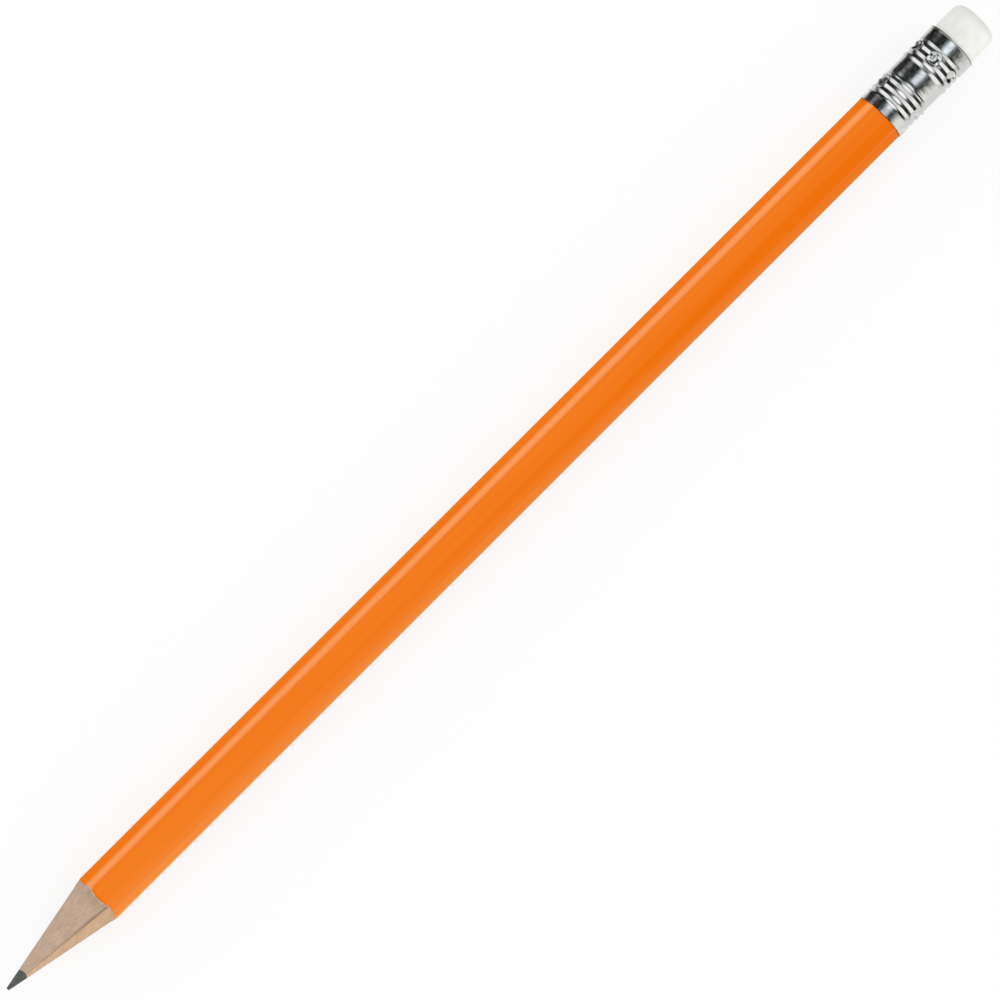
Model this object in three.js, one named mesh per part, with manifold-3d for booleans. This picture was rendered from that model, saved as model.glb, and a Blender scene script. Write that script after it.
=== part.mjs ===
// A wood-cased pencil with a rolled metal ferrule and a plug eraser.
// It lies along X on one of its six flats, with the writing point at -X and the eraser at +X.
// Lengths are in millimetres, angles in degrees, and +Z is up.

import * as THREE from 'three';
import { mergeVertices } from 'three/addons/utils/BufferGeometryUtils.js';
import Module from 'manifold-3d';

const wasm = await Module();
wasm.setup();

// Driving dimensions of the shank, measured over its colour coat
const overallLength = 188.5;
const acrossFlats = 7.15;
const cornerRadius = 2.45;
const colourCoatThickness = 0.1;
const undercoatThickness = 0.04;
const coatGap = 0.01;

// Driving dimensions of the core, the two slats and the glue between them
const coreDiameter = 1.65;
const glueThickness = 0.08;
const glueGap = 0.01;
const seamLean = 28;

// Driving dimensions of the sharpened end, whose cone steepens where the blade leaves the wood, and whose axis
// dips under the upper flat because the pencil was held a little askew in the sharpener
const pointDiameter = 0.46;
const coneAngle = 22;
const breakoutAngle = 39;
const coneLean = 0.3;

// Driving dimensions of the ferrule, with places along it measured from its wood end
const ferruleLength = 14.1;
const ferruleWall = 0.22;
const ferruleGap = 0.03;
const shoulderGap = 0.05;
const tenonCut = 0.11;
const tenonLength = 6.7;
const ridgeCount = 3;
const ridgePitch = 1.05;
const ridgeHeight = 0.15;
const woodRidgesAt = 3.53;
const eraserRidgesAt = 9.87;
const endBandRise = 0.075;
const endBandSlope = 0.3;
const rimLip = 0.06;
const rimWidth = 0.2;

// Driving dimensions of the punch marks that lock the ferrule to the wood and to the eraser
const punchRadius = 1;
const punchDepth = 0.35;
const woodPunchCount = 3;
const woodPunchTurn = 60;
const woodPunchesAt = woodRidgesAt;
const eraserPunchCount = 6;
const eraserPunchTurn = 6;
const eraserPunchesAt = eraserRidgesAt + ridgePitch / 2;

// Driving dimensions of the eraser
const eraserReach = 5.2;
const eraserRimGap = 0.06;
const eraserSeatGap = 0.05;
const eraserEdgeRadius = 1.3;
const eraserCrown = 0.12;

// Numbers of straight steps that stand for curves
const roundSteps = 48;
const cornerSteps = 8;
const outerRidgeSteps = 6;
const innerRidgeSteps = 2;
const edgeSteps = 6;
const crownSteps = 3;
const punchSteps = 14;
const punchRings = 8;

// Insets of each layer from the surface of the shank
const undercoatInset = colourCoatThickness + coatGap;
const woodInset = undercoatInset + undercoatThickness + coatGap;

// Radii about the pencil's axis
const cornerCentreDistance = (acrossFlats / 2 - cornerRadius) / Math.cos(Math.PI / 6);
const shankRadius = cornerCentreDistance + cornerRadius;
const woodRadius = shankRadius - woodInset;
const woodApothem = acrossFlats / 2 - woodInset;
const coreRadius = coreDiameter / 2;
const tenonRadius = woodRadius - tenonCut;
const grooveRadius = tenonRadius + ferruleGap + ferruleWall;
const ridgeRadius = grooveRadius + ridgeHeight;
const endBandRadius = grooveRadius + endBandRise;
const rimRadius = endBandRadius + rimLip;
const plugRadius = grooveRadius - ferruleWall - ferruleGap;
const eraserRadius = endBandRadius - ferruleWall - eraserRimGap;
const restHeight = Math.max(ridgeRadius, rimRadius, shankRadius);

// Places along the axis, measured from the writing point
const ferruleEnd = overallLength - eraserReach;
const ferruleStart = ferruleEnd - ferruleLength;
const shoulder = ferruleStart - shoulderGap;
const tenonEnd = ferruleStart + tenonLength;
const eraserStart = tenonEnd + eraserSeatGap;

// A lathe turns about Y and an extrusion grows along Z, and both are laid along X
const latheToAxis = new THREE.Matrix4().makeBasis(
  new THREE.Vector3(0, 0, 1),
  new THREE.Vector3(1, 0, 0),
  new THREE.Vector3(0, 1, 0),
);
const extrusionToAxis = new THREE.Matrix4().makeBasis(
  new THREE.Vector3(0, 1, 0),
  new THREE.Vector3(0, 0, 1),
  new THREE.Vector3(1, 0, 0),
);

// Turns a profile of [place along the axis, radius] pairs about X
function turned(profile) {
  const points = profile.map(([along, radius]) => new THREE.Vector2(radius, along));
  return new THREE.LatheGeometry(points, roundSteps).applyMatrix4(latheToAxis);
}

// Runs a cross-section along X between two places
function drawn(shape, start, end) {
  const geometry = new THREE.ExtrudeGeometry(shape, { depth: end - start, bevelEnabled: false });
  return geometry.applyMatrix4(extrusionToAxis).translate(start, 0, 0);
}

function toSolid(geometry) {
  const bare = geometry.clone();
  bare.deleteAttribute('normal');
  bare.deleteAttribute('uv');
  const merged = mergeVertices(bare);
  const mesh = new wasm.Mesh({
    numProp: 3,
    vertProperties: new Float32Array(merged.attributes.position.array),
    triVerts: new Uint32Array(merged.index.array),
  });
  return new wasm.Manifold(mesh);
}

function toGeometry(solid) {
  const mesh = solid.getMesh();
  const geometry = new THREE.BufferGeometry();
  geometry.setAttribute('position', new THREE.BufferAttribute(mesh.vertProperties, 3));
  geometry.setIndex(new THREE.BufferAttribute(mesh.triVerts, 1));
  geometry.computeVertexNormals();
  return geometry;
}

// The shank's outline, set in from its surface: six flats with round corners, one flat facing up
function shankOutline(inset) {
  const points = [];
  for (let corner = 0; corner < 6; corner += 1) {
    const cornerTurn = corner * Math.PI / 3;
    for (let step = 0; step <= cornerSteps; step += 1) {
      const turn = cornerTurn + (step / cornerSteps - 0.5) * Math.PI / 3;
      points.push(new THREE.Vector2(
        cornerCentreDistance * Math.cos(cornerTurn) + (cornerRadius - inset) * Math.cos(turn),
        cornerCentreDistance * Math.sin(cornerTurn) + (cornerRadius - inset) * Math.sin(turn),
      ));
    }
  }
  return points;
}

function circleOutline(radius) {
  const points = [];
  for (let step = 0; step < roundSteps; step += 1) {
    const turn = step * 2 * Math.PI / roundSteps;
    points.push(new THREE.Vector2(radius * Math.cos(turn), radius * Math.sin(turn)));
  }
  return points;
}

function section(outline, hole) {
  const shape = new THREE.Shape(outline);
  shape.holes.push(new THREE.Path(hole));
  return shape;
}

// How far from the writing point the sharpened surface reaches a radius about its own axis
function sharpenedTo(radius) {
  const coneSlope = Math.tan(THREE.MathUtils.degToRad(coneAngle / 2));
  const breakoutSlope = Math.tan(THREE.MathUtils.degToRad(breakoutAngle / 2));
  const coneRadius = Math.min(radius, woodApothem);
  return (coneRadius - pointDiameter / 2) / coneSlope + (radius - coneRadius) / breakoutSlope;
}

// The space that the sharpener leaves, carried a little past the blunt point and flaring out past the shank
function sharpenedSpace() {
  const nose = pointDiameter / 2;
  const flareRadius = 2 * shankRadius;
  const noseRadius = nose - nose * Math.tan(THREE.MathUtils.degToRad(coneAngle / 2));
  const cone = turned([
    [-nose, 0],
    [-nose, noseRadius],
    [sharpenedTo(woodApothem), woodApothem],
    [sharpenedTo(flareRadius), flareRadius],
    [overallLength, flareRadius],
    [overallLength, 0],
  ]);
  return toSolid(cone.rotateY(THREE.MathUtils.degToRad(coneLean)));
}

// The space that turning leaves: the full shank and the tenon at the far end
const blankRadius = shankRadius + coatGap;
const turnedSpace = toSolid(turned([
  [0, 0],
  [0, blankRadius],
  [shoulder, blankRadius],
  [shoulder, tenonRadius],
  [tenonEnd, tenonRadius],
  [tenonEnd, 0],
]));
const sharpened = sharpenedSpace();
const workedSpace = turnedSpace.intersect(sharpened);

// The glued blank of both slats, with the bore that holds the core
const boredBlank = toSolid(drawn(
  section(shankOutline(woodInset), circleOutline(coreRadius + glueGap)),
  0,
  tenonEnd,
));
const workedBlank = boredBlank.intersect(workedSpace);

function core() {
  const rod = turned([
    [0, 0],
    [0, coreRadius],
    [tenonEnd, coreRadius],
    [tenonEnd, 0],
  ]);
  return toGeometry(toSolid(rod).intersect(sharpened));
}

// One half of the casing: the blank on one side of the leaning glue seam
function slat(side) {
  const reach = 2 * blankRadius;
  const half = new THREE.BoxGeometry(tenonEnd, reach, 2 * reach);
  half.translate(tenonEnd / 2, side * (reach + glueThickness) / 2 + side * glueGap, 0);
  half.rotateX(THREE.MathUtils.degToRad(seamLean));
  return toGeometry(workedBlank.intersect(toSolid(half)));
}

// The film of glue between the slats, on one side of the core
function glueSeam(side) {
  const film = new THREE.BoxGeometry(tenonEnd, glueThickness, blankRadius);
  film.translate(tenonEnd / 2, 0, side * blankRadius / 2);
  film.rotateX(THREE.MathUtils.degToRad(seamLean));
  return toGeometry(workedBlank.intersect(toSolid(film)));
}

// A coat of paint, sharpened away with the wood and stopping at the ferrule's shoulder
function coat(inset, thickness) {
  const layer = section(shankOutline(inset), shankOutline(inset + thickness));
  return toGeometry(toSolid(drawn(layer, 0, shoulder)).intersect(workedSpace));
}

// A group of rolled ridges: raised cosine waves between grooves
function ridgeGroup(centre, steps) {
  const start = centre - ridgeCount * ridgePitch / 2;
  const points = [];
  for (let step = 0; step <= ridgeCount * steps; step += 1) {
    const wave = 0.5 - 0.5 * Math.cos(2 * Math.PI * step / steps);
    points.push([start + step * ridgePitch / steps, grooveRadius + ridgeHeight * wave]);
  }
  return points;
}

// The outside of the ferrule from its wood end to its eraser end
function ferruleSurface(steps) {
  const groupReach = ridgeCount * ridgePitch / 2;
  const points = [
    [0, rimRadius],
    [rimWidth, rimRadius],
    [2 * rimWidth, endBandRadius],
    [woodRidgesAt - groupReach - endBandSlope, endBandRadius],
    ...ridgeGroup(woodRidgesAt, steps),
    ...ridgeGroup(eraserRidgesAt, steps),
    [eraserRidgesAt + groupReach + endBandSlope, endBandRadius],
    [ferruleLength - 2 * rimWidth, endBandRadius],
    [ferruleLength - rimWidth, rimRadius],
    [ferruleLength, rimRadius],
  ];
  return points.map(([along, radius]) => [ferruleStart + along, radius]);
}

// The balls that punch the ferrule in, grown by an allowance
function punches(allowance) {
  const sets = [
    { along: ferruleStart + woodPunchesAt, count: woodPunchCount, firstTurn: woodPunchTurn },
    { along: ferruleStart + eraserPunchesAt, count: eraserPunchCount, firstTurn: eraserPunchTurn },
  ];
  const balls = [];
  for (const { along, count, firstTurn } of sets) {
    for (let mark = 0; mark < count; mark += 1) {
      const ball = new THREE.SphereGeometry(punchRadius + allowance, punchSteps, punchRings);
      ball.translate(along, 0, ridgeRadius - punchDepth + punchRadius);
      ball.rotateX(-THREE.MathUtils.degToRad(firstTurn + mark * 360 / count));
      balls.push(toSolid(ball));
    }
  }
  return balls;
}

// A rolled sheet of even wall, with a cup pressed in under each punch
function ferrule() {
  const outside = ferruleSurface(outerRidgeSteps);
  const inside = ferruleSurface(innerRidgeSteps).map(([along, radius]) => [along, radius - ferruleWall]);
  const tube = turned([...outside, ...inside.reverse(), outside[0]]);
  const filled = toSolid(turned([[ferruleStart, 0], ...outside, [ferruleEnd, 0]]));
  let sheet = toSolid(tube);
  for (const cup of punches(ferruleWall)) {
    sheet = sheet.add(cup.intersect(filled));
  }
  for (const ball of punches(0)) {
    sheet = sheet.subtract(ball);
  }
  return toGeometry(sheet);
}

// Takes the pressed cups of the ferrule out of what lies under them
function pressed(geometry) {
  let solid = toSolid(geometry);
  for (const ball of punches(ferruleWall + ferruleGap)) {
    solid = solid.subtract(ball);
  }
  return toGeometry(solid);
}

// The plug, gripped below the end band, with a rounded edge and a slightly crowned end
function eraser() {
  const gripEnd = ferruleStart + eraserRidgesAt + ridgeCount * ridgePitch / 2;
  const crownEdge = overallLength - eraserCrown;
  const flatRadius = eraserRadius - eraserEdgeRadius;
  const profile = [
    [eraserStart, 0],
    [eraserStart, plugRadius],
    [gripEnd, plugRadius],
    [gripEnd + endBandSlope, eraserRadius],
  ];
  for (let step = 0; step <= edgeSteps; step += 1) {
    const turn = step * Math.PI / 2 / edgeSteps;
    profile.push([
      crownEdge - eraserEdgeRadius * (1 - Math.sin(turn)),
      flatRadius + eraserEdgeRadius * Math.cos(turn),
    ]);
  }
  for (let step = crownSteps - 1; step >= 0; step -= 1) {
    const share = step / crownSteps;
    profile.push([overallLength - eraserCrown * share * share, flatRadius * share]);
  }
  return turned(profile);
}

function finish(color, roughness, metalness) {
  return new THREE.MeshStandardMaterial({ color, roughness, metalness });
}

function piece(name, geometry, material) {
  const mesh = new THREE.Mesh(geometry, material);
  mesh.name = name;
  return mesh;
}

const casing = new THREE.Group();
casing.add(
  piece('graphite_core', core(), finish(0x505850, 0.5, 0)),
  piece('dark_slat', pressed(slat(1)), finish(0xbfa58e, 0.8, 0)),
  piece('pale_slat', pressed(slat(-1)), finish(0xd2b48c, 0.8, 0)),
  piece('upper_glue_seam', pressed(glueSeam(1)), finish(0x968269, 0.6, 0)),
  piece('lower_glue_seam', pressed(glueSeam(-1)), finish(0x968269, 0.6, 0)),
);

const paint = new THREE.Group();
paint.add(
  piece('undercoat', coat(undercoatInset, undercoatThickness), finish(0xaaa59b, 0.7, 0)),
  piece('colour_coat', coat(0, colourCoatThickness), finish(0xf4791c, 0.25, 0)),
);

const eraserEnd = new THREE.Group();
eraserEnd.add(
  piece('ferrule', ferrule(), finish(0xd4d6d4, 0.2, 1)),
  piece('eraser', pressed(eraser()), finish(0xeeefea, 0.9, 0)),
);

const pencil = new THREE.Group();
pencil.add(casing, paint, eraserEnd);
pencil.position.set(-overallLength / 2, 0, restHeight);

export default pencil;
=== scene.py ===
# %% [markdown]
# # A pencil with an eraser
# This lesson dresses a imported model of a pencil: a sharpened wood casing round a graphite rod, two coats of
# paint, a rolled metal ferrule and a white eraser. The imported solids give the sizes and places, and Blender
# gives each piece a smooth surface and a finish. It is written as a notebook, one small step at a time.

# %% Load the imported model
import math

import bmesh
import bpy
from mathutils import Matrix, Vector, noise


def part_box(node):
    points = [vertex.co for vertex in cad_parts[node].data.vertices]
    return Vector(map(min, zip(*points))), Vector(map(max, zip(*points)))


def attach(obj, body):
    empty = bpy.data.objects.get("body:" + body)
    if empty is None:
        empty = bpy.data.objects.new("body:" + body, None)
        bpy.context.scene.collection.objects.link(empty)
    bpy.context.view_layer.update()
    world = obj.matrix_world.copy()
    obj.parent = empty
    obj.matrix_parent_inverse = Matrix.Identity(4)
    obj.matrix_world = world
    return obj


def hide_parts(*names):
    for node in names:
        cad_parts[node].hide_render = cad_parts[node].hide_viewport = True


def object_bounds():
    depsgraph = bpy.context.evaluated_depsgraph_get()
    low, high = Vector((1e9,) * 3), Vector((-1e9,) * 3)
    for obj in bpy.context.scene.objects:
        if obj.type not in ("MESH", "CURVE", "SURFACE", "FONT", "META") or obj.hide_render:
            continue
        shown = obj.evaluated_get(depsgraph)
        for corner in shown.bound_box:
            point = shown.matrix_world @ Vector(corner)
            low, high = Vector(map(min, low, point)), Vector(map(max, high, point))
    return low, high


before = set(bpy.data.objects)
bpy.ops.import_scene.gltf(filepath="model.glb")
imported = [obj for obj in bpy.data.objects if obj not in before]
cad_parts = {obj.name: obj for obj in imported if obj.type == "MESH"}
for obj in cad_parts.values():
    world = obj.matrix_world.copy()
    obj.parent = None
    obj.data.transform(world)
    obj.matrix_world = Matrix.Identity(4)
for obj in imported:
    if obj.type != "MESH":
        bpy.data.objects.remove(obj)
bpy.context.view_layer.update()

# %% [markdown]
# ## The bench
# The pieces are modelled in millimetres on a bench of their own: X runs along the pencil from its point,
# and Y and Z are measured from its axis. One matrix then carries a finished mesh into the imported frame,
# which is in metres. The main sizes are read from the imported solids, so the new pieces fit them.

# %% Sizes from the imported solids
MM = 0.001
core_low, core_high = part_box("graphite_core")
bench_origin = Vector((core_low.x, 0, (core_low.z + core_high.z) / 2))
to_frame = Matrix.Translation(bench_origin) @ Matrix.Scale(MM, 4)


def measured(node):
    """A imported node's lowest and highest corners on the bench, in millimetres."""
    low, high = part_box(node)
    return [(corner - bench_origin) / MM for corner in (low, high)]


core_radius = measured("graphite_core")[1].y
tenon_end = measured("graphite_core")[1].x
shank_apothem = measured("colour_coat")[1].z
shank_radius = measured("colour_coat")[1].y
shoulder = measured("colour_coat")[1].x
undercoat_inset = shank_radius - measured("undercoat")[1].y
ferrule_start, ferrule_end = (corner.x for corner in measured("ferrule"))
eraser_start, eraser_end = (corner.x for corner in measured("eraser"))
eraser_radius = measured("eraser")[1].z
print(f"shank {2 * shank_apothem:.2f} over its flats and {2 * shank_radius:.2f} over its corners")
print(f"shoulder at {shoulder:.2f}, ferrule {ferrule_start:.2f} to {ferrule_end:.2f}, end {eraser_end:.2f}")

# %% [markdown]
# ## Camera
# The pencil is seen from almost straight above through a long lens, with its point nearest. The camera is
# built from the pencil's own directions: it leans towards the point by a few degrees, and it is rolled
# until the pencil runs up the picture's diagonal. A long lens keeps both ends nearly the same size.

# %% Camera from the pencil's directions
CAMERA_DISTANCE = 1500
CAMERA_LEAN = math.radians(6.5)
PENCIL_RISE = math.radians(44.99)
PICTURE_WIDTH = 136.5
LOOK_ALONG = 94.7
LOOK_ASIDE = -0.283
CLIP_END = 20

towards_camera = Vector((-math.sin(CAMERA_LEAN), 0, math.cos(CAMERA_LEAN)))
along_picture = Vector((math.cos(CAMERA_LEAN), 0, math.sin(CAMERA_LEAN)))
aside_picture = Vector((0, -1, 0))
camera_right = math.cos(PENCIL_RISE) * along_picture + math.sin(PENCIL_RISE) * aside_picture
camera_up = math.sin(PENCIL_RISE) * along_picture - math.cos(PENCIL_RISE) * aside_picture
look_at = Vector((LOOK_ALONG, LOOK_ASIDE, 0))

lens = bpy.data.cameras.new("camera")
lens.lens = lens.sensor_width * CAMERA_DISTANCE / PICTURE_WIDTH
lens.clip_end = CLIP_END
camera = bpy.data.objects.new("camera", lens)
camera.matrix_world = Matrix((camera_right, camera_up, towards_camera)).transposed().to_4x4()
camera.location = to_frame @ (look_at + CAMERA_DISTANCE * towards_camera)
bpy.context.scene.collection.objects.link(camera)
bpy.context.scene.camera = camera
print(f"camera lens {lens.lens:.0f} mm at {CAMERA_DISTANCE} mm")

# %% [markdown]
# ## Two helpers for materials
# Colours are written as the hex values that a screen shows, and one function turns them to the linear
# values that the renderer adds up. A second function adds a node, sets its properties, and either sets
# each input or links it to another node's output.

# %% Colour and node helpers


def linear(hex_colour):
    """A screen colour such as F4791C as linear red, green, blue and alpha."""
    channels = [int(hex_colour[at:at + 2], 16) / 255 for at in (0, 2, 4)]
    return [c / 12.92 if c <= 0.04045 else ((c + 0.055) / 1.055) ** 2.4 for c in channels] + [1]


def add(tree, kind, inputs, **settings):
    """Adds one node with its settings, and sets or links its inputs."""
    made = tree.nodes.new(kind)
    for name, value in settings.items():
        setattr(made, name, value)
    for name, value in inputs.items():
        if isinstance(value, bpy.types.NodeSocket):
            tree.links.new(value, made.inputs[name])
        else:
            made.inputs[name].default_value = value
    return made


def new_material(name):
    """An empty material with its tree, output and the bench's millimetres as a vector."""
    made = bpy.data.materials.new(name)
    made.use_nodes = True
    tree = made.node_tree
    tree.nodes.clear()
    output = add(tree, "ShaderNodeOutputMaterial", {})
    place = add(tree, "ShaderNodeTexCoord", {}).outputs["Object"]
    bench = add(
        tree, "ShaderNodeMapping",
        {"Vector": place, "Location": bench_origin, "Scale": (MM, MM, MM)},
        vector_type="TEXTURE",
    ).outputs["Vector"]
    return made, tree, output, bench


def stretched(tree, bench, along, across):
    """The bench vector in cells of a length along the pencil and a width across it, in millimetres."""
    cell = (1 / along, 1 / across, 1 / across)
    return add(tree, "ShaderNodeMapping", {"Vector": bench, "Scale": cell}).outputs["Vector"]


def ramp(tree, factor, stops):
    """A colour ramp from pairs of position and hex colour."""
    made = add(tree, "ShaderNodeValToRGB", {"Fac": factor})
    elements = made.color_ramp.elements
    while len(elements) < len(stops):
        elements.new(1)
    for element, (position, colour) in zip(elements, stops):
        element.position = position
        element.color = linear(colour)
    return made.outputs["Color"]


print("helpers ready; orange is", [round(channel, 3) for channel in linear("F4791C")])

# %% [markdown]
# ## Orange lacquer
# The shank is pulled through a cup of nitrocellulose lacquer several times and wiped by a rubber ring. That
# leaves a smooth, glossy, nearly opaque coat with very faint lines along the pencil. The base colour drifts
# a little, and a shallow bump gives the lines and a trace of orange peel.

# %% Orange lacquer material


def orange_lacquer():
    made, tree, output, bench = new_material("orange_lacquer")
    drift = add(
        tree, "ShaderNodeTexNoise",
        {"Vector": stretched(tree, bench, 30, 1.2), "Scale": 1, "Detail": 3},
    ).outputs["Fac"]
    colour = ramp(tree, drift, [(0.3, "EC6E05"), (0.7, "F0730D")])
    lines = add(
        tree, "ShaderNodeTexNoise",
        {"Vector": stretched(tree, bench, 12, 0.16), "Scale": 1, "Detail": 2},
    ).outputs["Fac"]
    peel = add(
        tree, "ShaderNodeTexNoise",
        {"Vector": stretched(tree, bench, 0.9, 0.6), "Scale": 1, "Detail": 1},
    ).outputs["Fac"]
    lined = add(
        tree, "ShaderNodeBump",
        {"Height": lines, "Distance": 0.0012 * MM, "Strength": 0.5},
    ).outputs["Normal"]
    rippled = add(
        tree, "ShaderNodeBump",
        {"Height": peel, "Distance": 0.0015 * MM, "Strength": 0.5, "Normal": lined},
    ).outputs["Normal"]
    skin = add(
        tree, "ShaderNodeBsdfPrincipled",
        {"Base Color": colour, "Roughness": 0.08, "IOR": 1.48, "Specular IOR Level": 0.4,
         "Normal": rippled},
    )
    tree.links.new(skin.outputs["BSDF"], output.inputs["Surface"])
    return made


lacquer = orange_lacquer()
print("made", lacquer.name)

# %% [markdown]
# ## Primer
# Under the colour lies a chalky grey-white primer. Only its cut edge shows, as a thin broken line between
# the bare wood and the orange.

# %% Primer material


def chalk_primer():
    made, tree, output, bench = new_material("chalk_primer")
    mottle = add(
        tree, "ShaderNodeTexNoise",
        {"Vector": stretched(tree, bench, 0.35, 0.35), "Scale": 1, "Detail": 4},
    ).outputs["Fac"]
    colour = ramp(tree, mottle, [(0.3, "968D80"), (0.7, "CCC5B8")])
    skin = add(tree, "ShaderNodeBsdfPrincipled", {"Base Color": colour, "Roughness": 0.8})
    tree.links.new(skin.outputs["BSDF"], output.inputs["Surface"])
    return made


primer = chalk_primer()
print("made", primer.name)

# %% [markdown]
# ## Bare cut wood
# The casing is two slats of a soft, fine-grained wood glued face to face, and they seldom match: here one
# is pinkish and the other straw coloured. The blade leaves a dry surface with fibres along the pencil,
# small dark pores, and cloudy patches where the grain was torn. Beside the glue seam the wood is painted
# darker as shade, more so towards the paint, and the last of the cut, next to the paint, is darker too.
# Both slats share one recipe.

# %% Wood material
SEAM_LEAN = math.radians(28)
SEAM_NORMAL = Vector((0, math.cos(SEAM_LEAN), math.sin(SEAM_LEAN)))
# The painted shade beside the glue seam fades in between these places along the pencil, in millimetres.
SEAM_SHADE_START = 5
SEAM_SHADE_END = 15
# The wood turns darker between these places along the pencil, next to the paint.
DARKER_NEAR_PAINT_START = 14.8
DARKER_NEAR_PAINT_END = 17.6


def cut_wood(name, dark, middle, light, pore_and_shade):
    made, tree, output, bench = new_material(name)
    clouds = add(
        tree, "ShaderNodeTexNoise",
        {"Vector": stretched(tree, bench, 2.2, 0.9), "Scale": 1, "Detail": 5, "Roughness": 0.6},
    ).outputs["Fac"]
    fibres = add(
        tree, "ShaderNodeTexNoise",
        {"Vector": stretched(tree, bench, 7.0, 0.17), "Scale": 1, "Detail": 4, "Roughness": 0.65},
    ).outputs["Fac"]
    faint_clouds = add(tree, "ShaderNodeMath", {0: clouds, 1: 0.35}, operation="MULTIPLY").outputs["Value"]
    tone = add(
        tree, "ShaderNodeMath", {0: fibres, 1: 0.65, 2: faint_clouds}, operation="MULTIPLY_ADD",
    ).outputs["Value"]
    body = ramp(tree, tone, [(0.36, dark), (0.5, middle), (0.64, light)])
    pores = add(
        tree, "ShaderNodeTexNoise",
        {"Vector": stretched(tree, bench, 1.1, 0.13), "Scale": 1, "Detail": 2},
    ).outputs["Fac"]
    pored = add(
        tree, "ShaderNodeMapRange",
        {"Value": pores, "From Min": 0.62, "From Max": 0.75, "To Min": 0, "To Max": 0.5},
    ).outputs["Result"]
    along = add(tree, "ShaderNodeSeparateXYZ", {"Vector": bench}).outputs["X"]
    across_seam = add(
        tree, "ShaderNodeVectorMath", {0: bench, 1: SEAM_NORMAL}, operation="DOT_PRODUCT",
    ).outputs["Value"]
    from_seam = add(tree, "ShaderNodeMath", {0: across_seam}, operation="ABSOLUTE").outputs["Value"]
    # Painted shade: the wood within half a millimetre of the glue seam is darkened, more so towards the
    # paint.
    seam_darkening = add(
        tree, "ShaderNodeMapRange",
        {"Value": from_seam, "From Min": 0.05, "From Max": 0.5, "To Min": 0.55, "To Max": 0},
    ).outputs["Result"]
    towards_paint = add(
        tree, "ShaderNodeMapRange", {"Value": along, "From Min": SEAM_SHADE_START, "From Max": SEAM_SHADE_END},
    ).outputs["Result"]
    painted_seam_shade = add(
        tree, "ShaderNodeMath", {0: seam_darkening, 1: towards_paint}, operation="MULTIPLY",
    ).outputs["Value"]
    # The last of the cut, next to the paint, is mixed towards the pore colour.
    darker_near_paint = add(
        tree, "ShaderNodeMapRange",
        {"Value": along, "From Min": DARKER_NEAR_PAINT_START, "From Max": DARKER_NEAR_PAINT_END, "To Max": 0.3},
    ).outputs["Result"]
    darker = add(tree, "ShaderNodeMath", {0: painted_seam_shade, 1: darker_near_paint}, operation="MAXIMUM").outputs["Value"]
    darkest = add(tree, "ShaderNodeMath", {0: pored, 1: darker}, operation="MAXIMUM").outputs["Value"]
    colour = add(
        tree, "ShaderNodeMix", {0: darkest, 6: body, 7: linear(pore_and_shade)}, data_type="RGBA",
    ).outputs[2]
    relief = add(
        tree, "ShaderNodeBump",
        {"Height": tone, "Distance": 0.03 * MM, "Strength": 0.6},
    ).outputs["Normal"]
    skin = add(
        tree, "ShaderNodeBsdfPrincipled",
        {"Base Color": colour, "Roughness": 0.75, "Specular IOR Level": 0.25, "Normal": relief},
    )
    tree.links.new(skin.outputs["BSDF"], output.inputs["Surface"])
    return made


dark_wood = cut_wood("pinkish_cut_wood", "AF937C", "BDA38D", "CAB09B", "8F7560")
pale_wood = cut_wood("straw_cut_wood", "C09775", "CEAA8A", "DBBD9A", "A88462")
print("made", dark_wood.name, "and", pale_wood.name)

# %% [markdown]
# ## Glue
# Where the slats meet, a film of brown glue has soaked into both faces. It shows on the cone as a thin
# line, dark near the paint and fading towards the core, where the blade cut the fibres over it.

# %% Glue material
GLUE_FADE_START = 4
GLUE_FADE_END = 14


def wood_glue():
    made, tree, output, bench = new_material("dried_wood_glue")
    stain = add(
        tree, "ShaderNodeTexNoise",
        {"Vector": stretched(tree, bench, 2.0, 0.5), "Scale": 1, "Detail": 3},
    ).outputs["Fac"]
    brown = ramp(tree, stain, [(0.35, "6E5A45"), (0.65, "8C765C")])
    along = add(tree, "ShaderNodeSeparateXYZ", {"Vector": bench}).outputs["X"]
    seam_darkening = add(
        tree, "ShaderNodeMapRange",
        {"Value": along, "From Min": GLUE_FADE_START, "From Max": GLUE_FADE_END,
         "To Min": 0.15, "To Max": 1},
    ).outputs["Result"]
    colour = add(
        tree, "ShaderNodeMix", {0: seam_darkening, 6: linear("C0A58B"), 7: brown}, data_type="RGBA",
    ).outputs[2]
    skin = add(tree, "ShaderNodeBsdfPrincipled", {"Base Color": colour, "Roughness": 0.6})
    tree.links.new(skin.outputs["BSDF"], output.inputs["Surface"])
    return made


glue = wood_glue()
print("made", glue.name)

# %% [markdown]
# ## Graphite
# The core is graphite and clay, fired like a ceramic and soaked in wax. Freshly sharpened it is a dark,
# slightly green grey with a dull sheen and fine rings where the blade went round.

# %% Graphite material


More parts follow.
